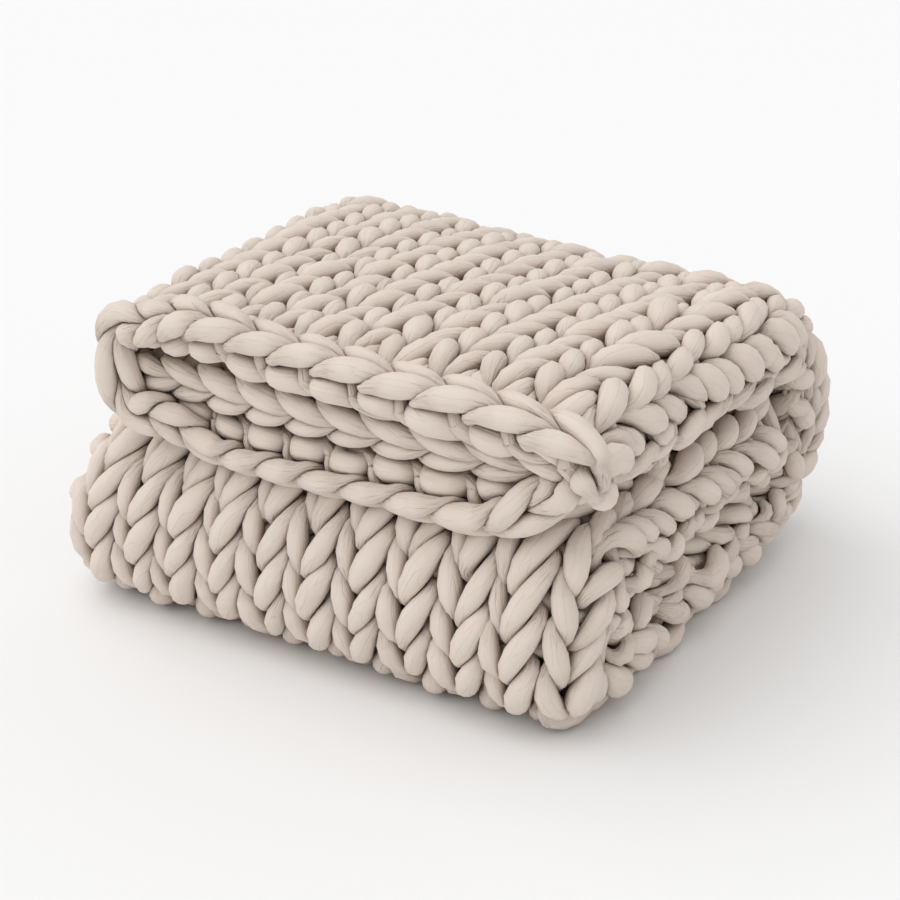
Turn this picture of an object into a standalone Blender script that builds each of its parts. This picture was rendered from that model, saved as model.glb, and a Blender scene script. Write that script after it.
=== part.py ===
"""A chunky knitted weighted blanket, folded up as it lies on a shelf.

The blanket is one piece of cloth. It is folded in three across its width, so an outer, an
inner and a tucked-in middle panel make one long strip. The strip is then wrapped over itself
lengthwise: back over the top, down round the back, forward along the bottom, up round the
front and in through the middle. Nine layers lie on each other, a few millimetres apart.
+Z is up, the cut end of the strip faces -Y, and the origin is under the middle of the stack.
"""
import math
from collections import namedtuple

import bpy
from mathutils import Matrix, Vector

# Driving sizes, in metres
WIDTH = 0.503           # over the two side folds
DEPTH = 0.484           # over the front and back turns
CLOTH = 0.023           # thickness of one layer
PITCH = 0.0306          # from one layer to the next
LIP_OUT = 0.004         # the strip's cut end stands this far in front of the front turn
SELVAGE_OUT = 0.006     # the outer panel's free edge stands this far past the right fold
CORNER_OUT = 0.010      # and this much more at its corner, by the cut end
TUCK_GAP = 0.004        # from the middle panel's free edge to the centre of the left fold
LIP_FLARE = 0.075       # length over which the panels part at the cut end
FLARE_UP = 0.006        # rise of the outer panel at the cut end
FLARE_DOWN = 0.016      # drop of the inner panel at the cut end
BACK_SQUARE = 2.2       # superellipse powers of the turns' outsides: 2 is round, more is squarer
FRONT_SQUARE = 2.7

# Layers are counted from the one on the floor, 0, to the one on top, 8
TALL = CLOTH + 8 * PITCH
BOTTOM_STRIP = 1        # middle layer of each threefold run of the strip
MIDDLE_STRIP = 4
TOP_STRIP = 7

# Across the blanket, seen from the front: x of the free edges and of the folds' centres
OUTER_EDGE_X = WIDTH / 2 - CLOTH / 2 + SELVAGE_OUT
LEFT_FOLD_X = -WIDTH / 2 + CLOTH / 2 + PITCH
RIGHT_FOLD_X = WIDTH / 2 - CLOTH / 2 - PITCH / 2
MIDDLE_EDGE_X = LEFT_FOLD_X + TUCK_GAP

# Along the strip, seen from the right end: y of its two ends and of the turns' centres
LIP_Y = -DEPTH / 2 - LIP_OUT
BACK_TURN_RADIUS = 3 * PITCH
FRONT_TURN_RADIUS = 1.5 * PITCH
BACK_TURN_Y = DEPTH / 2 - CLOTH / 2 - BACK_TURN_RADIUS - PITCH
FRONT_TURN_Y = -DEPTH / 2 + CLOTH / 2 + FRONT_TURN_RADIUS + PITCH
TUCKED_END_Y = BACK_TURN_Y + 0.6 * PITCH

# Faces along each section: across are outer panel, left fold, inner panel, right fold and
# middle panel; along are top run, back turn, bottom run, front turn and middle run
STEPS_ACROSS = (8, 6, 7, 5, 7)
STEPS_ALONG = (9, 12, 7, 10, 7)

# Where the soft stack is out of square. at and reach are in halves of the width and depth,
# and in heights; push is how far the cloth is moved at the middle of the place, in metres.
Sag = namedtuple("Sag", "place at reach push")
SAGS = (
    Sag("left end of the lips", (-1.0, -1.0, 0.85), (0.9, 1.2, 0.35), (0.051, 0.0, 0.004)),
    Sag("back of the top", (0.6, 1.1, 1.0), (1.3, 0.9, 0.5), (0.0, 0.0, -0.021)),
    Sag("foot of the back", (0.6, 1.0, 0.35), (1.4, 0.6, 0.3), (0.0, 0.011, 0.0)),
    Sag("left of the front", (-1.0, -0.8, 0.6), (0.5, 1.0, 0.2), (0.008, 0.0, 0.0)),
    Sag("crown", (-0.2, -0.1, 1.1), (0.9, 0.9, 0.5), (0.0, 0.0, 0.008)),
    Sag("back left of the top", (-0.9, 0.6, 0.95), (0.6, 0.6, 0.4), (0.0, 0.0, 0.008)),
    Sag("back right corner", (1.0, 1.0, 0.9), (0.6, 0.5, 0.3), (-0.011, -0.009, 0.0)),
    Sag("foot of the front", (0.2, -1.0, 0.05), (1.5, 0.3, 0.3), (0.0, -0.006, 0.0)),
    Sag("right end of the lips", (0.9, -1.0, 0.85), (0.6, 0.6, 0.3), (-0.003, 0.002, 0.006)),
)
LEAN = 0.018            # the top lies this far to the right of the bottom
FLAT_BELOW = 0.08       # of the height: nothing under it is raised or dropped
RAMP = 0.25             # of the height, over which the sags reach their full rise
FOOT_WAIST = (0.010, 0.026)     # shares of x and y that the middles of the flat foot's sides
                                # are drawn in by, so that the stack stands on four corners
FOOT_TALL = 0.03        # the waist fades out over this height
LEVEL = 0.00002         # points of the foot this close to the floor are put on it

CLOTH_COLOUR = (0.604, 0.509, 0.445, 1.0)
CLOTH_ROUGHNESS = 0.9


def smooth(x):
    x = min(max(x, 0.0), 1.0)
    return x * x * (3 - 2 * x)


def mix(start, end, part):
    return start + (end - start) * part


def layer_height(layer):
    """Height of the middle of a layer's thickness."""
    return CLOTH / 2 + layer * PITCH


def across(section, part):
    """Where a lengthwise line of the cloth runs: x, and how far outside the strip's middle."""
    if section == 0:
        return mix(OUTER_EDGE_X, LEFT_FOLD_X, part), PITCH
    if section == 1:
        angle = math.pi * part
        return LEFT_FOLD_X - PITCH * math.sin(angle), PITCH * math.cos(angle)
    if section == 2:
        return mix(LEFT_FOLD_X, RIGHT_FOLD_X, part), -PITCH
    if section == 3:
        angle = math.pi * part
        radius = PITCH / 2
        return RIGHT_FOLD_X + radius * math.sin(angle), -radius - radius * math.cos(angle)
    return mix(RIGHT_FOLD_X, MIDDLE_EDGE_X, part), 0.0


def squared_turn(angle, radius, middle_radius, outer_power):
    """How far a turn has gone out and up: round at its inside, a little squarer at its outside."""
    power = mix(2.0, outer_power, radius / (middle_radius + PITCH))
    sine = math.sin(angle)
    cosine = math.cos(angle)
    out = radius * abs(sine) ** (2 / power)
    up = radius * math.copysign(abs(cosine) ** (2 / power), cosine)
    return out, up


def along(section, part, outside):
    """y and z of the cloth, part of the way along a section, outside the strip's middle."""
    if section == 0:
        run = (BACK_TURN_Y - LIP_Y) * part
        flare = max(1 - run / LIP_FLARE, 0.0) ** 2
        rise = FLARE_UP if outside > 0 else FLARE_DOWN
        return LIP_Y + run, layer_height(TOP_STRIP) + outside * (1 + flare * rise / PITCH)
    if section == 1:
        radius = BACK_TURN_RADIUS + outside
        out, up = squared_turn(math.pi * part, radius, BACK_TURN_RADIUS, BACK_SQUARE)
        return BACK_TURN_Y + out, layer_height(MIDDLE_STRIP) + up
    if section == 2:
        return mix(BACK_TURN_Y, FRONT_TURN_Y, part), layer_height(BOTTOM_STRIP) - outside
    if section == 3:
        radius = FRONT_TURN_RADIUS + outside
        out, up = squared_turn(math.pi * part, radius, FRONT_TURN_RADIUS, FRONT_SQUARE)
        return FRONT_TURN_Y - out, layer_height((BOTTOM_STRIP + MIDDLE_STRIP) / 2) - up
    return mix(FRONT_TURN_Y, TUCKED_END_Y, part), layer_height(MIDDLE_STRIP) + outside


def sagged(x, y, z):
    """Moves a point of the square stack to where the soft, heavy cloth lies."""
    place = (2 * x / WIDTH, 2 * y / DEPTH, z / TALL)
    lift = smooth((place[2] - FLAT_BELOW) / RAMP)
    moved = [x + LEAN * (place[2] - 0.5), y, z]
    for sag in SAGS:
        gaps = [(p - a) / r for p, a, r in zip(place, sag.at, sag.reach)]
        share = math.exp(-sum(gap * gap for gap in gaps))
        moved[0] += share * sag.push[0]
        moved[1] += share * sag.push[1]
        moved[2] += share * sag.push[2] * lift
    foot = 1 - smooth((z - layer_height(0)) / FOOT_TALL)
    moved[0] *= 1 - FOOT_WAIST[0] * foot * (1 - place[1] ** 2)
    moved[1] *= 1 - FOOT_WAIST[1] * foot * (1 - place[0] ** 2)
    return Vector(moved)


def section_of(step, steps):
    """The section that a grid line is in, and how far along it, from 0 to 1."""
    for section, count in enumerate(steps):
        if step <= count:
            return section, step / count
        step -= count
    raise ValueError("no such grid line")


def folded_cloth(name):
    """A flat grid whose lines are laid along the folds, then given its thickness."""
    lines_across = sum(STEPS_ACROSS)
    lines_along = sum(STEPS_ALONG)
    bpy.ops.mesh.primitive_grid_add(x_subdivisions=lines_across, y_subdivisions=lines_along, size=1)
    cloth = bpy.context.object
    cloth.name = name
    cloth.data.name = name
    for vertex in cloth.data.vertices:
        step_across = round((0.5 - vertex.co.x) * lines_across)
        step_along = round((0.5 + vertex.co.y) * lines_along)
        x, outside = across(*section_of(step_across, STEPS_ACROSS))
        section, part = section_of(step_along, STEPS_ALONG)
        y, z = along(section, part, outside)
        if section == 0:
            flare = max(1 - (y - LIP_Y) / LIP_FLARE, 0.0) ** 2
            free = smooth(step_across / STEPS_ACROSS[0])
            x += CORNER_OUT * flare * (1 - free)
        vertex.co = sagged(x, y, z)
    thickness = cloth.modifiers.new("cloth thickness", "SOLIDIFY")
    thickness.thickness = CLOTH
    thickness.offset = 0
    thickness.use_even_offset = True
    cloth.data.shade_smooth()
    return cloth


def centred_on_floor(cloth):
    """The thick cloth as a plain mesh, its foot level, its box centred over the origin."""
    evaluated = cloth.evaluated_get(bpy.context.evaluated_depsgraph_get())
    thick = bpy.data.meshes.new_from_object(evaluated)
    cloth.modifiers.clear()
    cloth.data = thick
    low = Vector(min(vertex.co[axis] for vertex in thick.vertices) for axis in range(3))
    high = Vector(max(vertex.co[axis] for vertex in thick.vertices) for axis in range(3))
    thick.transform(Matrix.Translation((-(low.x + high.x) / 2, -(low.y + high.y) / 2, -low.z)))
    for vertex in thick.vertices:
        if vertex.co.z < LEVEL:
            vertex.co.z = 0.0


def yarn_material():
    material = bpy.data.materials.new("stuffed_jersey_yarn")
    material.use_nodes = True
    shader = material.node_tree.nodes["Principled BSDF"]
    shader.inputs["Base Color"].default_value = CLOTH_COLOUR
    shader.inputs["Roughness"].default_value = CLOTH_ROUGHNESS
    shader.inputs["Metallic"].default_value = 0.0
    return material


def main():
    for leftover in list(bpy.data.objects):
        bpy.data.objects.remove(leftover, do_unlink=True)
    cloth = folded_cloth("knit_blanket")
    cloth.data.materials.append(yarn_material())
    centred_on_floor(cloth)
    folded_blanket = bpy.data.collections.new("folded_weighted_blanket")
    bpy.context.scene.collection.children.link(folded_blanket)
    for holder in list(cloth.users_collection):
        holder.objects.unlink(cloth)
    folded_blanket.objects.link(cloth)


main()
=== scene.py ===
"""The looks of a chunky knitted weighted blanket, folded up: every stitch of its stuffed yarn.

The cloth is the one that the solid in the frame stands for. Each course of stitches is one
length of plump tube, laid along the folded cloth as loops that hang in the course before.
"""

import math
from collections import namedtuple

import bpy
import numpy as np
from mathutils import Euler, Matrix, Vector
from mathutils.kdtree import KDTree


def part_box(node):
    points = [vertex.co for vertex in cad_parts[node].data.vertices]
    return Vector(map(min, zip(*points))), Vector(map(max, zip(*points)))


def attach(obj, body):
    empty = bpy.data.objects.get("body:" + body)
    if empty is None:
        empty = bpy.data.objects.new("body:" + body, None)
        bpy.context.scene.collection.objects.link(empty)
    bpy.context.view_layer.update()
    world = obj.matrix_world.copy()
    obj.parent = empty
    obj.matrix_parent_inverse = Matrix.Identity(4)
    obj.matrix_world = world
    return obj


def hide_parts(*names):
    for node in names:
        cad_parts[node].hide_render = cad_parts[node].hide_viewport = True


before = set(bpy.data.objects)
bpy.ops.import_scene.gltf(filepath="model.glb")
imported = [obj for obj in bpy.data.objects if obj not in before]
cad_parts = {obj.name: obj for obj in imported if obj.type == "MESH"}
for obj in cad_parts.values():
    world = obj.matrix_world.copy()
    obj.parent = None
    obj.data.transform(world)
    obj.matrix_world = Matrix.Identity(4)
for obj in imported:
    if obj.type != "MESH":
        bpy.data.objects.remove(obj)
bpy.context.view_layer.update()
RNG = np.random.default_rng(20)

# --- The folded cloth, with the sizes of the solid in the frame, in metres ---------------------

WIDTH = 0.503           # over the two side folds
DEPTH = 0.484           # over the front and back turns
CLOTH = 0.023           # thickness of one layer
PITCH = 0.0306          # from one layer to the next
LIP_OUT = 0.004         # the strip's cut end stands this far in front of the front turn
SELVAGE_OUT = 0.006     # the outer panel's free edge stands this far past the right fold
CORNER_OUT = 0.010      # and this much more at its corner, by the cut end
TUCK_GAP = 0.004        # from the middle panel's free edge to the centre of the left fold
LIP_FLARE = 0.075       # length over which the panels part at the cut end
FLARE_UP = 0.006        # rise of the outer panel at the cut end
FLARE_DOWN = 0.016      # drop of the inner panel at the cut end
BACK_SQUARE = 2.2       # superellipse powers of the turns' outsides: 2 is round, more is squarer
FRONT_SQUARE = 2.7
MIDDLE_X = 0.0023       # the sags put the middle of the stack this far to the right

TALL = CLOTH + 8 * PITCH
BOTTOM_STRIP = 1        # middle layer of each threefold run of the strip, of layers 0 to 8
MIDDLE_STRIP = 4
TOP_STRIP = 7

OUTER_EDGE_X = WIDTH / 2 - CLOTH / 2 + SELVAGE_OUT
LEFT_FOLD_X = -WIDTH / 2 + CLOTH / 2 + PITCH
RIGHT_FOLD_X = WIDTH / 2 - CLOTH / 2 - PITCH / 2
MIDDLE_EDGE_X = LEFT_FOLD_X + TUCK_GAP

LIP_Y = -DEPTH / 2 - LIP_OUT
BACK_TURN_RADIUS = 3 * PITCH
FRONT_TURN_RADIUS = 1.5 * PITCH
BACK_TURN_Y = DEPTH / 2 - CLOTH / 2 - BACK_TURN_RADIUS - PITCH
FRONT_TURN_Y = -DEPTH / 2 + CLOTH / 2 + FRONT_TURN_RADIUS + PITCH
TUCKED_END_Y = BACK_TURN_Y + 0.6 * PITCH

# Lengths across the cloth: outer panel, left fold, inner panel, right fold, middle panel
ACROSS = np.cumsum([
    OUTER_EDGE_X - LEFT_FOLD_X,
    math.pi * PITCH,
    RIGHT_FOLD_X - LEFT_FOLD_X,
    math.pi * PITCH / 2,
    RIGHT_FOLD_X - MIDDLE_EDGE_X,
])
CLOTH_WIDE = ACROSS[-1]
CLOTH_LONG = 1.52

# Where the soft stack is out of square: place, reach and push, as in the solid
Sag = namedtuple("Sag", "place at reach push")
SAGS = (
    Sag("left end of the lips", (-1.0, -1.0, 0.85), (0.9, 1.2, 0.35), (0.051, 0.0, 0.004)),
    Sag("back of the top", (0.6, 1.1, 1.0), (1.3, 0.9, 0.5), (0.0, 0.0, -0.021)),
    Sag("foot of the back", (0.6, 1.0, 0.35), (1.4, 0.6, 0.3), (0.0, 0.011, 0.0)),
    Sag("left of the front", (-1.0, -0.8, 0.6), (0.5, 1.0, 0.2), (0.008, 0.0, 0.0)),
    Sag("crown", (-0.2, -0.1, 1.1), (0.9, 0.9, 0.5), (0.0, 0.0, 0.008)),
    Sag("back left of the top", (-0.9, 0.6, 0.95), (0.6, 0.6, 0.4), (0.0, 0.0, 0.008)),
    Sag("back right corner", (1.0, 1.0, 0.9), (0.6, 0.5, 0.3), (-0.011, -0.009, 0.0)),
    Sag("foot of the front", (0.2, -1.0, 0.05), (1.5, 0.3, 0.3), (0.0, -0.006, 0.0)),
    Sag("right end of the lips", (0.9, -1.0, 0.85), (0.6, 0.6, 0.3), (-0.003, 0.002, 0.006)),
)
LEAN = 0.018
FLAT_BELOW = 0.08
RAMP = 0.25


def smooth(x):
    x = np.clip(x, 0.0, 1.0)
    return x * x * (3 - 2 * x)


def mix(start, end, part):
    return start + (end - start) * part


def layer_height(layer):
    return CLOTH / 2 + layer * PITCH


def across(wide):
    """x, and distance outside the strip's middle, at a distance from the outer panel's edge."""
    turned = (wide - ACROSS[0]) / PITCH
    small = PITCH / 2
    curled = (wide - ACROSS[2]) / small
    cases = [wide < ACROSS[0], wide < ACROSS[1], wide < ACROSS[2], wide < ACROSS[3]]
    x = np.select(cases, [
        OUTER_EDGE_X - wide,
        LEFT_FOLD_X - PITCH * np.sin(turned),
        LEFT_FOLD_X + wide - ACROSS[1],
        RIGHT_FOLD_X + small * np.sin(curled),
    ], RIGHT_FOLD_X - (wide - ACROSS[3]))
    outside = np.select(cases, [
        np.full_like(wide, PITCH),
        PITCH * np.cos(turned),
        np.full_like(wide, -PITCH),
        -small - small * np.cos(curled),
    ], 0.0)
    return x, outside


def squared_turn(part, radius, middle_radius, outer_power):
    """How far a turn has gone out and up, part of the way round."""
    power = mix(2.0, outer_power, radius / (middle_radius + PITCH))
    sine = np.sin(math.pi * part)
    cosine = np.cos(math.pi * part)
    reach = radius / (np.abs(sine) ** power + np.abs(cosine) ** power) ** (1 / power)
    return reach * sine, reach * cosine


def along(far, outside):
    """y and z of the cloth, at a distance from its cut end measured on the outer panel."""
    knit = PITCH + 0.5 * (outside - PITCH)
    top = BACK_TURN_Y - LIP_Y
    back = top + math.pi * (BACK_TURN_RADIUS + knit)
    bottom = back + BACK_TURN_Y - FRONT_TURN_Y
    front = bottom + math.pi * (FRONT_TURN_RADIUS + knit)
    flare = np.clip(1 - far / LIP_FLARE, 0.0, None) ** 2
    rise = np.where(outside > 0, FLARE_UP, FLARE_DOWN)
    back_out, back_up = squared_turn(
        np.clip((far - top) / (back - top), 0, 1), BACK_TURN_RADIUS + outside, BACK_TURN_RADIUS,
        BACK_SQUARE)
    front_out, front_up = squared_turn(
        np.clip((far - bottom) / (front - bottom), 0, 1), FRONT_TURN_RADIUS + outside,
        FRONT_TURN_RADIUS, FRONT_SQUARE)
    cases = [far < top, far < back, far < bottom, far < front]
    y = np.select(cases, [
        LIP_Y + far,
        BACK_TURN_Y + back_out,
        BACK_TURN_Y - (far - back),
        FRONT_TURN_Y - front_out,
    ], mix(FRONT_TURN_Y, TUCKED_END_Y, (far - front) / (CLOTH_LONG - front)))
    z = np.select(cases, [
        layer_height(TOP_STRIP) + outside * (1 + flare * rise / PITCH),
        layer_height(MIDDLE_STRIP) + back_up,
        layer_height(BOTTOM_STRIP) - outside,
        layer_height((BOTTOM_STRIP + MIDDLE_STRIP) / 2) - front_up,
    ], layer_height(MIDDLE_STRIP) + outside)
    return y, z


def sagged(x, y, z):
    """Where the soft, heavy cloth lies, for points of the square stack."""
    place = (2 * x / WIDTH, 2 * y / DEPTH, z / TALL)
    lift = smooth((place[2] - FLAT_BELOW) / RAMP)
    moved = [x + LEAN * (place[2] - 0.5), y.copy(), z.copy()]
    for sag in SAGS:
        share = np.exp(-sum(((p - a) / r) ** 2 for p, a, r in zip(place, sag.at, sag.reach)))
        moved[0] += share * sag.push[0]
        moved[1] += share * sag.push[1]
        moved[2] += share * sag.push[2] * lift
    return moved


low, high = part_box("knit_blanket")
STACK_AT = np.array([(low.x + high.x) / 2 - MIDDLE_X, (low.y + high.y) / 2, low.z])


def flat_middle(wide, far):
    """Points of the cloth's middle surface: wide from its free edge, far from its cut end."""
    x, outside = across(wide)
    y, z = along(far, outside)
    flare = np.clip(1 - far / LIP_FLARE, 0.0, None) ** 2
    x = x + CORNER_OUT * np.minimum(flare, 1.5) * (1 - smooth(wide / ACROSS[0]))
    return np.stack(sagged(x, y, z), axis=-1) + STACK_AT


def unit(vectors):
    return vectors / np.linalg.norm(vectors, axis=-1, keepdims=True)


def directions(surface, wide, far):
    """Unit vectors on a surface: towards the free edge, towards the cut end, to the knit side."""
    step = 0.001
    to_edge = unit(surface(wide - step, far) - surface(wide + step, far))
    to_end = unit(surface(wide, far - step) - surface(wide, far + step))
    return to_edge, to_end, unit(np.cross(to_end, to_edge))


# The knit curls at its edges. Each profile gives, along the last stretch of cloth, how steeply
# it heads towards the knit side, in degrees; END_CURLS has one for each place across.
END_CURL_FROM = 0.0635
END_CURL = (0.0, 0.025, 0.044, 0.060, 0.076, 0.100)
END_CURLS = (
    (0.00, (0, -42, -50, -4, 66, 90)),      # free edge of the outer panel
    (0.12, (0, -36, -44, 16, 82, 96)),
    (0.25, (0, -28, -30, 30, 84, 96)),
    (0.38, (0, -12, 0, 36, 62, 70)),
    (0.45, (0, 0, 6, 10, 16, 20)),
    (0.50, (0, 4, 4, 0, -4, -6)),           # left fold
    (0.57, (0, 0, 0, 8, 18, 30)),
    (0.68, (0, 18, 40, 72, 90, 96)),        # inner panel
    (0.92, (0, 18, 40, 72, 90, 96)),
    (1.01, (0, -15, -25, -25, -10, 0)),     # right fold
    (1.08, (0, -20, -25, -20, -5, 0)),      # middle panel
    (1.50, (0, -10, -15, -12, -5, 0)),
)
# How much further back than the outer panel's the other panels' courses lie, by place across
COURSES_BACK = ((0.34, 0.023), (0.50, 0.042), (0.60, 0.049), (0.95, 0.049), (1.05, 0.058))
# The cut end of the left fold is tucked in: how far at most, where across, and its reach
END_TUCK = 0.030
TUCK_AT = 0.51
TUCK_REACH = 0.10
TUCK_RUN = 0.080
CORNER_FLAT = 0.10      # the free edge curls less and less over this length to the cut end
EDGE_CURL_FROM = 0.042
EDGE_CURL = (0.0, 0.014, 0.030, 0.054, 0.075)
EDGE_CURLS = (0, -15, -55, -90, -110)


def curl_table(stations, degrees):
    """How far a curling edge has gone on and out, at even steps past where it starts."""
    steps = np.linspace(0, 0.14, 141)
    heading = np.radians(np.interp(steps, stations, degrees))
    gone = 0.5 * (np.cos(heading[1:]) + np.cos(heading[:-1])) * np.diff(steps)
    out = 0.5 * (np.sin(heading[1:]) + np.sin(heading[:-1])) * np.diff(steps)
    return steps, np.concatenate([[0], np.cumsum(gone)]), np.concatenate([[0], np.cumsum(out)])


END_TABLES = [curl_table(END_CURL, degrees) for _, degrees in END_CURLS]
EDGE_TABLE = curl_table(EDGE_CURL, EDGE_CURLS)


def cloth_middle(wide, far):
    """Points of the middle surface with its cut end and its free edge curled."""
    back = np.interp(wide, *np.transpose(COURSES_BACK))
    far = far + back * np.clip(1 - far / CLOTH_LONG, 0, 1)
    past_end = np.clip(END_CURL_FROM - far, 0, None)
    past_edge = np.clip(EDGE_CURL_FROM - wide, 0, None)
    places = np.array([place for place, _ in END_CURLS])
    at = np.clip(wide, places[0], places[-1] - 1e-6)
    lower = np.clip(np.searchsorted(places, at, side="right") - 1, 0, len(places) - 2)
    share = smooth((at - places[lower]) / (places[lower + 1] - places[lower]))
    gone = np.zeros_like(wide)
    out = np.zeros_like(wide)
    for index, (steps, gone_table, out_table) in enumerate(END_TABLES):
        weight = np.where(lower == index, 1 - share, 0) + np.where(lower + 1 == index, share, 0)
        gone += weight * np.interp(past_end, steps, gone_table)
        out += weight * np.interp(past_end, steps, out_table)
    flat_wide = np.maximum(wide, EDGE_CURL_FROM)
    flat_far = np.maximum(far, END_CURL_FROM)
    point = flat_middle(flat_wide, flat_far)
    to_edge, to_end, normal = directions(flat_middle, flat_wide, flat_far)
    steps, gone_table, out_table = EDGE_TABLE
    curled = 0.3 + 0.7 * smooth((far - CUT_END) / CORNER_FLAT)
    side = mix(past_edge, np.interp(past_edge, steps, gone_table), curled)
    out += curled * np.interp(past_edge, steps, out_table)
    point = point + to_end * gone[:, None] + to_edge * side[:, None] + normal * out[:, None]
    tuck = END_TUCK * smooth(past_end / TUCK_RUN) * np.exp(-((wide - TUCK_AT) / TUCK_REACH) ** 2)
    return point + np.stack([tuck, 0 * tuck, 0 * tuck], axis=-1)


# --- The stitches ------------------------------------------------------------------------------

COLUMNS = 33
COURSES = 43
CUT_END = -0.036        # the curled end is this much longer than the flat solid
FREE_EDGE = -0.014      # and the curled edge is this much wider
STITCH_WIDE = (CLOTH_WIDE - FREE_EDGE) / COLUMNS
STITCH_TALL = CLOTH_LONG / (COURSES - 0.3)
LOOP_TALL = 0.86        # half height of a loop, in stitch heights
LOOP_LEAN = 0.300       # how far its legs bow, in stitch widths
FRONT_LEAN = 0.265      # and on the front, where the cloth hangs stretched
LOOP_DEEP = 0.0070      # legs stand this far to the knit side, heads as far to the other
LIP_DEEP = 0.0052       # and less at the lips
LOWEST = 0.0050         # no yarn's middle lies nearer to the floor
YARN = 0.0114           # radius of the yarn where nothing presses it
SKEW = 0.0044           # the heads lie this far to the right of the middle, the feet to the left
SINK = 0.0026           # the loops' middle lies this far inside the cloth's middle
PROUD = 0.0018          # on the front, one leg of each loop stands out and the other sinks in
FRONT_THIN = 0.91       # there the yarn is stretched a little thinner too
FRONT_FROM = 1.0        # how far along the cloth the values for the front begin to hold
FRONT_IN = 0.1          # and the length over which they come in
FLAT_TOP = 0.90         # the yarn lies this flat where layers lie on each other
FLAT_FRONT = 0.95       # and this flat on the front and at the lips
FOOT_CLOSED = 0.5       # share of the bow left at the feet of the first course's loops
END_SWELL = 0.98        # plumpness of the first course, where little holds the yarn
PURL_SWELL = 0.02       # and all the others' a little
UNEVEN_EDGE = 0.9       # the free edge and the right fold are this much less even
UNEVEN_FOLD = 1.7
UNEVEN_MOST = 0.12      # but its thickness is never further off than this share
FOLD_THIN = 0.88        # and the yarn in the tight right fold is nipped thinner
FOLD_COLUMN = 22.7      # middle of the right fold
SELVAGE_WIDE = 0.014    # at the free edge the yarn turns up to the next course: its bulge,
SELVAGE_TALL = 0.039    # its height, and how far it stands to the knit side
SELVAGE_DEEP = 0.006
SELVAGE_THIN = 0.55     # and how thin it is where it starts, of its full radius


# One length of yarn: its middle line, its radii, the way out of the cloth, and how flat it lies
Strand = namedtuple("Strand", "points radii normals flatness")


def leg_noise(size):
    """Seeded differences from leg to leg: across, along, out, thickness."""
    spread = np.array([0.0021, 0.0024, 0.0014, 0.07])
    return np.clip(RNG.normal(0, 1, size + (4,)), -2, 2) * spread


LEG_NOISE = leg_noise((COURSES + 1, 2 * COLUMNS + 2))
HEAD_NOISE = leg_noise((COURSES + 1, 2 * COLUMNS + 2))


def plumpness(turn):
    """Share of the yarn's radius round a loop: full in the legs, nipped where it crosses."""
    return (0.82 - 0.06 * np.cos(2 * turn) + 0.20 * np.cos(4 * turn)
            - 0.04 * np.cos(8 * turn))


def up_the_loop(turn):
    """Height round a loop, from -1 at its foot to 1 at its head, with long straight legs."""
    return (0.1 * np.cos(3 * turn) - np.cos(turn)) / 0.9


def at_front(far):
    return smooth((far - FRONT_FROM) / FRONT_IN)


def at_lips(far):
    return smooth(1 - far / LIP_FLARE)


def near_column(column, middle, reach):
    """Fades from one near the middle, over the last column of the reach, to nothing."""
    return smooth(reach - np.abs(column - middle))


def course_path(course, first, last, samples):
    """One course of loops from column first to last, samples for each stitch."""
    count = max(int(round((last - first) * samples)), 2)
    turn = 2 * math.pi * np.linspace(first, last, count + 1)
    leg = np.clip((turn / math.pi).astype(int), 0, 2 * COLUMNS + 1)
    head = np.clip(np.round(turn / math.pi).astype(int), 0, 2 * COLUMNS + 1)
    on_leg = np.sin(turn)[:, None] ** 2
    noise = LEG_NOISE[course, leg] * on_leg + HEAD_NOISE[course, head] * (1 - on_leg)
    column = turn / (2 * math.pi)
    noise = noise * (1 + UNEVEN_EDGE * near_column(column, 0, 2.5)
                     + UNEVEN_FOLD * near_column(column, FOLD_COLUMN, 2))[:, None]
    noise[:, 3] = np.clip(noise[:, 3], -UNEVEN_MOST, UNEVEN_MOST)
    far = STITCH_TALL * (course + LOOP_TALL * up_the_loop(turn))
    front = at_front(far)
    bow = mix(LOOP_LEAN, FRONT_LEAN, front) * np.sin(2 * turn)
    if course == 0:
        bow = bow * np.where(np.cos(turn) > 0, FOOT_CLOSED, 1.0)
    wide = FREE_EDGE + STITCH_WIDE * (column + bow)
    wide = wide - SKEW * up_the_loop(turn) + noise[:, 0]
    far = far + noise[:, 1]
    deep = mix(LOOP_DEEP, LIP_DEEP, at_lips(far))
    out = -deep * np.cos(2 * turn) + front * PROUD * np.sin(turn) - SINK + noise[:, 2]
    nipped = plumpness(turn) + PURL_SWELL * (1 - on_leg[:, 0])
    swell = np.full_like(turn, END_SWELL) if course == 0 else nipped
    in_fold = near_column(column, FOLD_COLUMN, 1.6)
    swell = swell * (1 + noise[:, 3]) * mix(1, FOLD_THIN, in_fold) * mix(1, FRONT_THIN, front)
    if first == 0:
        wide, far, out, swell = with_selvage(course, wide, far, out, swell, samples)
    point = cloth_middle(wide, far)
    normal = directions(cloth_middle, wide, far)[2]
    lying = 1 - np.maximum(at_lips(far), at_front(far))
    flatness = mix(FLAT_FRONT, FLAT_TOP, lying)
    laid = point + normal * out[:, None]
    laid[:, 2] = np.maximum(laid[:, 2], LOWEST)
    return Strand(laid, YARN * swell, normal, flatness)


def with_selvage(course, wide, far, out, swell, samples):
    """The path with the turn that its yarn makes at the free edge, coming from the next course."""
    part = np.linspace(0, 1, samples, endpoint=False)
    bulge = np.sin(math.pi * part)
    size = 1 + 2 * LEG_NOISE[course, -1, 3]
    edge_wide = wide[0] - SELVAGE_WIDE * size * bulge
    edge_far = far[0] + SELVAGE_TALL * (1 - part)
    edge_out = out[0] + SELVAGE_DEEP * (bulge - (1 - part) ** 2)
    edge_swell = mix(SELVAGE_THIN, 1, bulge)
    return (np.append(edge_wide, wide), np.append(edge_far, far), np.append(edge_out, out),
            np.append(edge_swell, swell))


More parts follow.
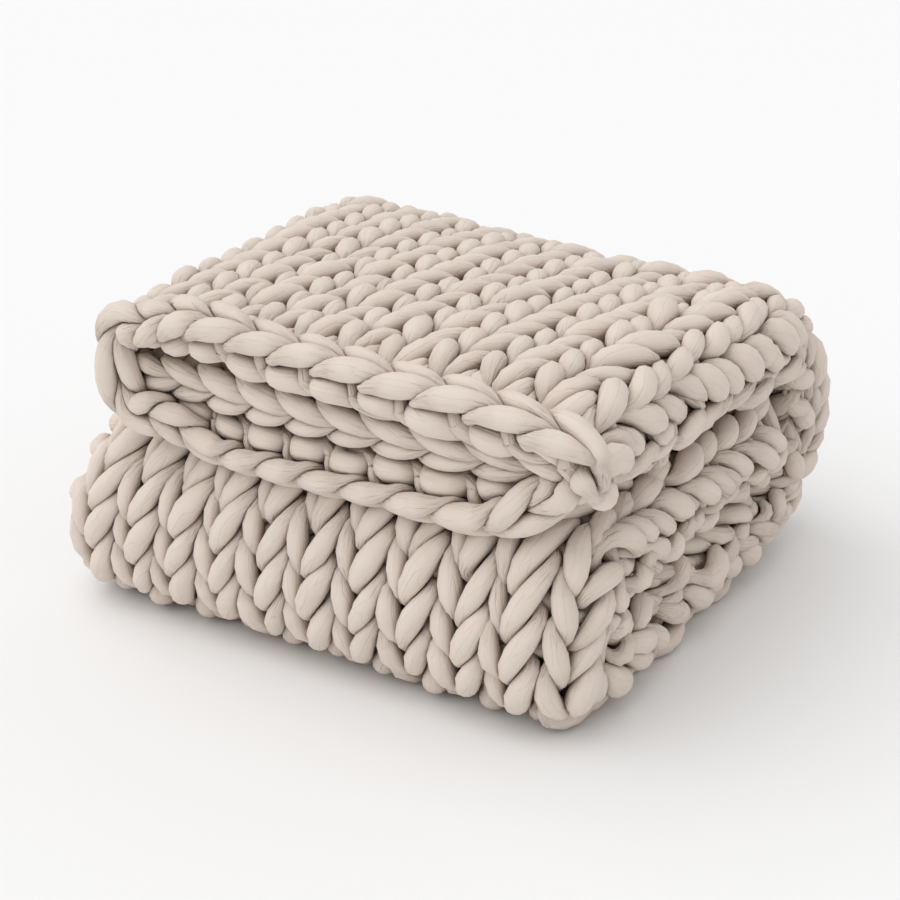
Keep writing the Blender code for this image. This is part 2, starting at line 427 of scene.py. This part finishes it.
CHAIN_WIDE = 0.027      # the chain along the cut end: width of its stitches
CHAIN_TALL = 0.82       # half height of its loops, in stitch widths
CHAIN_OUT = 0.008       # and how far past the cut end it lies
CHAIN_ROOT = 0.008      # its loops' feet go this deep into the cloth,
ROOT_NARROW = 0.75      # are drawn together by this share,
ROOT_FROM = 0.9         # and start to, in radians of the loop, this far from its foot
CHAIN_UNDER = 0.006     # and the yarn between them this much deeper
CHAIN_THIN = 0.82       # it is pulled tighter than the courses
CHAIN_UNDER_THIN = 0.7  # and tighter still between its loops
CHAIN_BACK = 0.1        # its ends stop this much of a column short of the cloth's edges


def chain_path(links, samples):
    """The chain that finishes the cut end: one yarn, in loops that lie along the end, edge on."""
    under = samples // 3
    side = []
    place = []
    out = []
    swell = []
    for link in range(links):
        turn = 2 * math.pi * np.linspace(0, 1, samples + 1)
        rooting = smooth(1 - np.minimum(turn, 2 * math.pi - turn) / ROOT_FROM)
        bow = turn / (2 * math.pi) - 0.5 + LOOP_LEAN * np.sin(2 * turn)
        side.append(CHAIN_WIDE * bow * (1 - ROOT_NARROW * rooting))
        place.append(link + 0.5 + CHAIN_TALL * up_the_loop(turn))
        out.append(mix(CHAIN_OUT - LIP_DEEP * np.cos(2 * turn), -CHAIN_ROOT, rooting))
        swell.append(CHAIN_THIN * plumpness(turn) * (1 + LEG_NOISE[-1, 2 * link, 3]))
        if link < links - 1:
            part = np.linspace(0, 1, under + 2)[1:-1]
            side.append(0.5 * (1 - ROOT_NARROW) * CHAIN_WIDE * np.cos(math.pi * part))
            place.append(link + 0.5 - CHAIN_TALL + part)
            out.append(-CHAIN_ROOT - CHAIN_UNDER * np.sin(math.pi * part))
            swell.append(np.full(under, CHAIN_UNDER_THIN))
    ends = slice(samples // 6, -(samples // 6))
    column = np.clip(np.concatenate(place)[ends], CHAIN_BACK, links - CHAIN_BACK)
    wide = FREE_EDGE + STITCH_WIDE * column
    far = np.full_like(wide, CUT_END)
    side = np.concatenate(side)[ends, None]
    out = np.concatenate(out)[ends, None]
    swell = np.concatenate(swell)[ends]
    point = cloth_middle(wide, far)
    to_edge, to_end, normal = directions(cloth_middle, wide, far)
    taper = np.sqrt(np.linspace(0.03, 1, samples // 7))
    swell[:len(taper)] *= taper
    swell[-len(taper):] *= taper[::-1]
    return Strand(point + normal * side + to_end * out, YARN * swell, normal, np.ones(len(point)))


# --- Yarn as swept tubes -----------------------------------------------------------------------

def add_node(tree, kind, links=None, **settings):
    """A node with its settings; links gives what each input is joined to or set to."""
    node = tree.nodes.new(kind)
    for name, value in settings.items():
        setattr(node, name, value)
    for name, source in (links or {}).items():
        socket = node.inputs[name]
        if isinstance(name, str):
            socket = next(put for put in node.inputs if put.name == name and put.enabled)
        if isinstance(source, bpy.types.NodeSocket):
            tree.links.new(source, socket)
        else:
            socket.default_value = source
    return node


def yarn_tree():
    """Geometry nodes that sweep a round yarn along the edges of a mesh."""
    tree = bpy.data.node_groups.new("stuffed yarn", "GeometryNodeTree")
    tree.interface.new_socket("Path", in_out="INPUT", socket_type="NodeSocketGeometry")
    tree.interface.new_socket("Sides", in_out="INPUT", socket_type="NodeSocketInt")
    tree.interface.new_socket("Plumpness", in_out="INPUT", socket_type="NodeSocketFloat")
    tree.interface.new_socket("Material", in_out="INPUT", socket_type="NodeSocketMaterial")
    tree.interface.new_socket("Yarn", in_out="OUTPUT", socket_type="NodeSocketGeometry")
    given = add_node(tree, "NodeGroupInput").outputs
    path = add_node(tree, "GeometryNodeMeshToCurve", {"Mesh": given["Path"]})
    thick = add_node(tree, "GeometryNodeInputNamedAttribute", {"Name": "yarn_radius"},
                     data_type="FLOAT")
    scaled = add_node(tree, "ShaderNodeMath", {
        0: thick.outputs["Attribute"],
        1: given["Plumpness"],
    }, operation="MULTIPLY")
    ring = add_node(tree, "GeometryNodeCurvePrimitiveCircle",
                    {"Resolution": given["Sides"], "Radius": 1.0})
    tube = add_node(tree, "GeometryNodeCurveToMesh", {
        "Curve": path.outputs["Curve"],
        "Profile Curve": ring.outputs["Curve"],
        "Scale": scaled.outputs[0],
        "Fill Caps": True,
    })
    soft = add_node(tree, "GeometryNodeSetShadeSmooth", {"Geometry": tube.outputs["Mesh"]})
    real = add_node(tree, "GeometryNodeRealizeInstances", {"Geometry": soft.outputs["Geometry"]})
    done = add_node(tree, "GeometryNodeSetMaterial", {
        "Geometry": real.outputs["Geometry"],
        "Material": given["Material"],
    })
    add_node(tree, "NodeGroupOutput", {"Yarn": done.outputs["Geometry"]})
    return tree


def input_name(tree, name):
    for item in tree.interface.items_tree:
        if item.item_type == "SOCKET" and item.in_out == "INPUT" and item.name == name:
            return item.identifier
    raise ValueError(name)


def swept_yarn(name, paths, tree, sides, material):
    """A plain mesh of yarn along the paths, each a strand."""
    lengths = [len(path.points) for path in paths]
    starts = np.cumsum([0] + lengths[:-1])
    points = np.concatenate([path.points for path in paths])
    edges = np.concatenate([np.stack([np.arange(s, s + n - 1), np.arange(s + 1, s + n)], axis=-1)
                            for s, n in zip(starts, lengths)])
    guide = bpy.data.meshes.new(name + "_guide")
    guide.vertices.add(len(points))
    guide.vertices.foreach_set("co", points.ravel())
    guide.edges.add(len(edges))
    guide.edges.foreach_set("vertices", edges.ravel())
    thick = guide.attributes.new("yarn_radius", "FLOAT", "POINT")
    thick.data.foreach_set("value", np.concatenate([path.radii for path in paths]))
    holder = bpy.data.objects.new(name + "_guide", guide)
    bpy.context.scene.collection.objects.link(holder)
    sweep = holder.modifiers.new("yarn", "NODES")
    sweep.node_group = tree
    sweep[input_name(tree, "Sides")] = sides
    sweep[input_name(tree, "Plumpness")] = 1.0
    sweep[input_name(tree, "Material")] = material
    seen = holder.evaluated_get(bpy.context.evaluated_depsgraph_get())
    mesh = bpy.data.meshes.new_from_object(seen)
    mesh.name = name
    piece = bpy.data.objects.new(name, mesh)
    bpy.context.scene.collection.objects.link(piece)
    bpy.data.objects.remove(holder)
    bpy.data.meshes.remove(guide)
    return piece


# --- Pressing: yarns that meet flatten against each other, and on the floor ---------------------

FIRMNESS = 16           # how sharply a pressed side turns into a free one
GAP = 0.0002            # left between yarns that touch
LEAST = 0.3             # of its radius that a yarn keeps on a pressed side
OWN_REACH = 0.045       # length of its own yarn that never presses a ring
FACING = 0.05           # only sides that face a neighbour more than this are pressed
TOUCH = 2.3 * YARN      # yarns whose middles are further apart than this never touch
TIGHTEST = 2.2          # the pinch attribute is this many times the share of radius lost


def run_along(points):
    """How far along its path each point lies."""
    steps = np.linalg.norm(np.diff(points, axis=0), axis=1)
    return np.concatenate([[0], np.cumsum(steps)])


def pressed_radii(strand, number, everything, finder, ring):
    """Radius of a strand in each direction of each ring, as far as its neighbours let it spread.

    Everything is all strands' points, their radii, their strands' numbers and how far along.
    """
    where, radii, owner, place = everything
    rows = []
    others = []
    run = run_along(strand.points)
    for index, point in enumerate(strand.points):
        near = [found[1] for found in finder.find_range(point, TOUCH)]
        rows.extend([index] * len(near))
        others.extend(near)
    rows = np.array(rows)
    others = np.array(others)
    mine = owner[others] == number
    keep = ~mine | (np.abs(place[others] - run[rows]) > OWN_REACH)
    rows = rows[keep]
    others = others[keep]
    apart = where[others] - strand.points[rows]
    distance = np.linalg.norm(apart, axis=1)
    towards = apart / distance[:, None]
    own = strand.radii[rows]
    wall = (distance ** 2 + own ** 2 - radii[others] ** 2) / (2 * distance) - GAP
    wall = np.maximum(wall, LEAST * own)
    touching = wall < own
    rows = rows[touching]
    towards = towards[touching]
    wall = wall[touching]
    count, sides = ring.shape[:2]
    result = np.zeros((count, sides))
    free = strand.radii ** -float(FIRMNESS)
    floor = np.maximum(strand.points[:, 2] - GAP, LEAST * strand.radii)
    starts = np.searchsorted(rows, np.arange(count))
    for side in range(sides):
        facing = (ring[rows, side] * towards).sum(axis=1)
        push = np.where(facing > FACING, facing / wall, 0) ** FIRMNESS
        total = np.add.reduceat(np.append(push, 0.0), np.minimum(starts, len(push)))
        total[np.diff(np.append(starts, len(push))) == 0] = 0
        down = -ring[:, side, 2]
        total += np.where(down > FACING, down / floor, 0) ** FIRMNESS
        result[:, side] = (free + total) ** (-1.0 / FIRMNESS)
    return result


def press(piece, numbers, strands, everything, finder, sides):
    """Reshapes a swept piece in place and gives it its yarn map and its pinch attribute."""
    mesh = piece.data
    co = np.zeros(len(mesh.vertices) * 3)
    mesh.vertices.foreach_get("co", co)
    co = co.reshape(-1, 3)
    pinch = np.zeros(len(co))
    length = np.zeros(len(co))
    start = 0
    for number in numbers:
        strand = strands[number]
        count = len(strand.points)
        part = slice(start, start + count * sides)
        ring = co[part].reshape(count, sides, 3) - strand.points[:, None]
        ring /= strand.radii[:, None, None]
        radii = pressed_radii(strand, number, everything, finder, ring)
        soft = radii.copy()
        soft[1:-1] = 0.25 * (radii[:-2] + 2 * radii[1:-1] + radii[2:])
        offset = ring * soft[:, :, None]
        raised = (offset * strand.normals[:, None]).sum(axis=-1, keepdims=True)
        flattened = (1 - strand.flatness)[:, None, None] * raised * strand.normals[:, None]
        laid = strand.points[:, None] + offset - flattened
        laid[..., 2] = np.maximum(laid[..., 2], GAP)
        co[part] = laid.reshape(-1, 3)
        tight = 1 - soft.mean(axis=1) / YARN
        pinch[part] = np.repeat(np.clip(tight * TIGHTEST, 0, 1), sides)
        length[part] = np.repeat(run_along(strand.points), sides)
        start += count * sides
    mesh.vertices.foreach_set("co", co.ravel())
    mesh.attributes.new("pinch", "FLOAT", "POINT").data.foreach_set("value", pinch)
    corner = np.zeros(len(mesh.loops), dtype=int)
    mesh.loops.foreach_get("vertex_index", corner)
    first = np.zeros(len(mesh.polygons), dtype=int)
    mesh.polygons.foreach_get("loop_start", first)
    size = np.zeros(len(mesh.polygons), dtype=int)
    mesh.polygons.foreach_get("loop_total", size)
    face = np.repeat(np.arange(len(first)), size)
    round_it = corner % sides
    wraps = np.maximum.reduceat(round_it, first) - np.minimum.reduceat(round_it, first) > 1
    u = np.where(wraps[face] & (round_it == 0), sides, round_it) / sides
    yarn_map = mesh.uv_layers.new(name="yarn")
    yarn_map.data.foreach_set("uv", np.stack([u, length[corner]], axis=-1).ravel())
    mesh.update()


# --- Materials ---------------------------------------------------------------------------------

def from_hex(code):
    """An sRGB hex colour as linear RGBA."""
    shares = [int(code[i:i + 2], 16) / 255 for i in (0, 2, 4)]
    linear = [share / 12.92 if share <= 0.04045 else ((share + 0.055) / 1.055) ** 2.4
              for share in shares]
    return (*linear, 1.0)


# Colours of the jersey: at its palest, at its deepest, and the painted shade mixed in down in its
# folds and hollows
JERSEY_LIGHT = "e5d8cd"
JERSEY_DEEP = "dbcdc1"
JERSEY_PAINTED_SHADE = "8f7b6b"

# Real sizes of what shows on it, in millimetres
GIRTH_MM = 72.0         # round the yarn
CREASE_MM = 5.0         # from one crease at a nip to the next
LINE_MM = 13.0          # from one long fine crease to the next
LUMP_MM = 16.0          # lumps of filling
WALE_MM = 2.4           # two of the jersey's own wales
CLOUD_MM = 30.0         # patches of uneven dye
PAINTED_SHADE_MM = 14.0        # how near other yarn is, where a hollow is painted darker as shade


def jersey_material():
    """Stuffed cotton jersey tube: matt, finely ribbed lengthwise, creased where it is nipped."""
    material = bpy.data.materials.new("stuffed cotton jersey tube")
    material.use_nodes = True
    tree = material.node_tree
    shader = tree.nodes["Principled BSDF"]
    shader.inputs["Roughness"].default_value = 0.94
    shader.inputs["Specular IOR Level"].default_value = 0.2
    shader.inputs["Sheen Weight"].default_value = 0.12
    shader.inputs["Sheen Roughness"].default_value = 0.6

    # The yarn map is once round and metres along; this makes both millimetres
    yarn_map = add_node(tree, "ShaderNodeUVMap", uv_map="yarn")
    flat = add_node(tree, "ShaderNodeMapping", {
        "Vector": yarn_map.outputs["UV"],
        "Scale": (GIRTH_MM, 1000.0, 1.0),
    })
    pinch = add_node(tree, "ShaderNodeAttribute", attribute_name="pinch")

    # Creases fan out lengthwise from every nip, about CREASE_MM apart
    stretched = add_node(tree, "ShaderNodeMapping", {
        "Vector": flat.outputs["Vector"],
        "Scale": (1 / CREASE_MM, 1 / (5 * CREASE_MM), 1.0),
    })
    creases = add_node(tree, "ShaderNodeTexNoise", {
        "Vector": stretched.outputs["Vector"],
        "Scale": 1.0,
        "Detail": 2.0,
        "Distortion": 0.4,
    })
    nipped = add_node(tree, "ShaderNodeMapRange", {
        "Value": pinch.outputs["Fac"],
        "From Min": 0.45,
        "From Max": 1.0,
        "To Min": 0.01,
        "To Max": 1.0,
    }, interpolation_type="SMOOTHSTEP")
    crease_height = add_node(tree, "ShaderNodeMath", {
        0: creases.outputs["Fac"],
        1: nipped.outputs["Result"],
    }, operation="MULTIPLY")
    crease_bump = add_node(tree, "ShaderNodeBump", {
        "Height": crease_height.outputs[0],
        "Strength": 0.8,
        "Distance": 0.004,
    })

    # Here and there one long fine crease, LINE_MM or so from the next
    drawn_out = add_node(tree, "ShaderNodeMapping", {
        "Vector": flat.outputs["Vector"],
        "Scale": (1 / LINE_MM, 1 / (4 * LINE_MM), 1.0),
    })
    line_noise = add_node(tree, "ShaderNodeTexNoise", {
        "Vector": drawn_out.outputs["Vector"],
        "Scale": 1.0,
        "Detail": 1.0,
        "Distortion": 0.2,
    })
    off_middle = add_node(tree, "ShaderNodeMath", {0: line_noise.outputs["Fac"], 1: 0.5},
                          operation="SUBTRACT")
    from_line = add_node(tree, "ShaderNodeMath", {0: off_middle.outputs[0]}, operation="ABSOLUTE")
    furrow = add_node(tree, "ShaderNodeMapRange", {
        "Value": from_line.outputs[0],
        "From Min": 0.0,
        "From Max": 0.03,
        "To Min": 0.0,
        "To Max": 1.0,
    }, interpolation_type="SMOOTHSTEP")
    furrow_bump = add_node(tree, "ShaderNodeBump", {
        "Height": furrow.outputs["Result"],
        "Normal": crease_bump.outputs["Normal"],
        "Strength": 0.35,
        "Distance": 0.0012,
    })

    # Lumps of filling under the jersey
    place = add_node(tree, "ShaderNodeTexCoord")
    lumps = add_node(tree, "ShaderNodeTexNoise", {
        "Vector": place.outputs["Object"],
        "Scale": 1000 / LUMP_MM,
        "Detail": 1.0,
    })
    lump_bump = add_node(tree, "ShaderNodeBump", {
        "Height": lumps.outputs["Fac"],
        "Normal": furrow_bump.outputs["Normal"],
        "Strength": 0.5,
        "Distance": 0.003,
    })

    # The jersey's own wales, drawn twice as coarse as real ones so that they show
    wales = add_node(tree, "ShaderNodeTexWave", {
        "Vector": flat.outputs["Vector"],
        "Scale": 0.314 / WALE_MM,
        "Distortion": 1.5,
        "Detail": 2.0,
    }, wave_type="BANDS", bands_direction="X")
    wale_bump = add_node(tree, "ShaderNodeBump", {
        "Height": wales.outputs["Fac"],
        "Normal": lump_bump.outputs["Normal"],
        "Strength": 0.15,
        "Distance": 0.0003,
    })
    tree.links.new(wale_bump.outputs["Normal"], shader.inputs["Normal"])

    # Dyed cloth is not quite even. Deep between the yarns, where other yarn is near, and at the
    # nips, painted shade darkens the colour towards a warm brown, standing in for the light that
    # has gone from cloth to cloth
    cloud = add_node(tree, "ShaderNodeTexNoise", {
        "Vector": place.outputs["Object"],
        "Scale": 1000 / CLOUD_MM,
        "Detail": 3.0,
    })
    body = add_node(tree, "ShaderNodeMix", {
        "Factor": cloud.outputs["Fac"],
        "A": from_hex(JERSEY_DEEP),
        "B": from_hex(JERSEY_LIGHT),
    }, data_type="RGBA")
    # Painted shade: the occlusion of nearby yarn mixes the colour towards the shade colour
    occlusion_shade = add_node(tree, "ShaderNodeAmbientOcclusion", {"Distance": PAINTED_SHADE_MM / 1000}, samples=3)
    crowded_shade = add_node(tree, "ShaderNodeMapRange", {
        "Value": occlusion_shade.outputs["AO"],
        "From Min": 0.1,
        "From Max": 0.66,
        "To Min": 0.76,
        "To Max": 0.0,
    }, interpolation_type="SMOOTHSTEP")
    # Painted shade at the nips: where the yarn is pinched its colour is a little darker
    folded = add_node(tree, "ShaderNodeMath", {0: nipped.outputs["Result"], 1: 0.15},
                      operation="MULTIPLY")
    painted_shade = add_node(tree, "ShaderNodeMath", {0: folded.outputs[0], 1: crowded_shade.outputs["Result"]},
                      operation="MAXIMUM")
    colour = add_node(tree, "ShaderNodeMix", {
        "Factor": painted_shade.outputs[0],
        "A": next(out for out in body.outputs if out.enabled),
        "B": from_hex(JERSEY_PAINTED_SHADE),
    }, data_type="RGBA")
    tree.links.new(next(out for out in colour.outputs if out.enabled), shader.inputs["Base Color"])
    return material


def floor_material():
    """Matt white paper: even and without shine, so that only the soft shadow shows on it."""
    material = bpy.data.materials.new("matt white paper sweep")
    material.use_nodes = True
    shader = material.node_tree.nodes["Principled BSDF"]
    shader.inputs["Base Color"].default_value = from_hex("f5f5f5")
    shader.inputs["Roughness"].default_value = 0.9
    shader.inputs["Specular IOR Level"].default_value = 0.1
    return material


# --- Studio ------------------------------------------------------------------------------------

def studio():
    bpy.ops.mesh.primitive_plane_add(size=30)
    floor = bpy.context.object
    floor.name = "paper_floor"
    floor.data.materials.append(floor_material())
    world = bpy.data.worlds.new("soft white room")
    bpy.context.scene.world = world
    world.use_nodes = True
    shader = world.node_tree.nodes["Background"]
    shader.inputs["Color"].default_value = from_hex("ffffff")
    shader.inputs["Strength"].default_value = 0.70
    lamp = bpy.data.lights.new("wide overhead light", "SUN")
    lamp.energy = 1.30
    lamp.angle = math.radians(80)
    holder = bpy.data.objects.new("wide overhead light", lamp)
    holder.rotation_euler = Vector((-0.4, -0.45, 1.0)).to_track_quat("Z", "Y").to_euler()
    bpy.context.scene.collection.objects.link(holder)

    camera = bpy.data.cameras.new("camera")
    camera.lens = 68.4
    camera.sensor_width = 36
    holder = bpy.data.objects.new("camera", camera)
    holder.location = (0.725 - MIDDLE_X, -1.1574, 0.6644)
    holder.rotation_euler = Euler((math.radians(90 - 22.24), 0, math.radians(32.43)))
    bpy.context.scene.collection.objects.link(holder)
    bpy.context.scene.camera = holder
    bpy.context.scene.view_settings.view_transform = "Standard"


# --- The blanket -------------------------------------------------------------------------------

FINE = (28, 14)         # samples for each stitch, and sides, where the yarn shows
COARSE = (14, 8)        # and inside the stack
CHAIN_SAMPLES = 42
SHOWN = 12.6            # columns of the outer panel and the left fold
FOLD = (21.3, 24.2)     # columns of the right fold

# Each piece: its courses, its columns, and how finely it is made
STRETCHES = {
    "lip_courses": (0, 2, 0.0, COLUMNS, FINE),
    "top_courses": (2, 11, 0.0, SHOWN, FINE),
    "back_courses": (11, 23, 0.0, SHOWN, FINE),
    "underside_courses": (23, 31, 0.0, SHOWN, FINE),
    "front_courses": (31, 39, 0.0, SHOWN, FINE),
    "inner_courses": (39, COURSES, 0.0, SHOWN, FINE),
    "right_fold_columns": (2, COURSES, FOLD[0], FOLD[1], FINE),
    "inner_panel_columns": (2, COURSES, SHOWN, FOLD[0], COARSE),
    "middle_panel_columns": (2, COURSES, FOLD[1], COLUMNS, COARSE),
}


def blanket_pieces():
    """Every piece of the blanket, as plain meshes."""
    strands = []
    pieces = {}
    for name, (first, last, left, right, fineness) in STRETCHES.items():
        numbers = []
        for course in range(first, last):
            numbers.append(len(strands))
            strands.append(course_path(course, left, right, fineness[0]))
        pieces[name] = (numbers, fineness[1])
    pieces["cast_on_chain"] = ([len(strands)], FINE[1])
    strands.append(chain_path(COLUMNS, CHAIN_SAMPLES))

    where = np.concatenate([strand.points for strand in strands])
    radii = np.concatenate([strand.radii for strand in strands])
    owner = np.repeat(np.arange(len(strands)), [len(strand.points) for strand in strands])
    place = np.concatenate([run_along(strand.points) for strand in strands])
    finder = KDTree(len(where))
    for index, point in enumerate(where):
        finder.insert(point, index)
    finder.balance()
    jersey = jersey_material()
    tree = yarn_tree()
    made = []
    for name, (numbers, sides) in pieces.items():
        piece = swept_yarn(name, [strands[number] for number in numbers], tree, sides, jersey)
        press(piece, numbers, strands, (where, radii, owner, place), finder, sides)
        made.append(piece)
    return made


studio()
for piece in blanket_pieces():
    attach(piece, "root")
    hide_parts("knit_blanket")
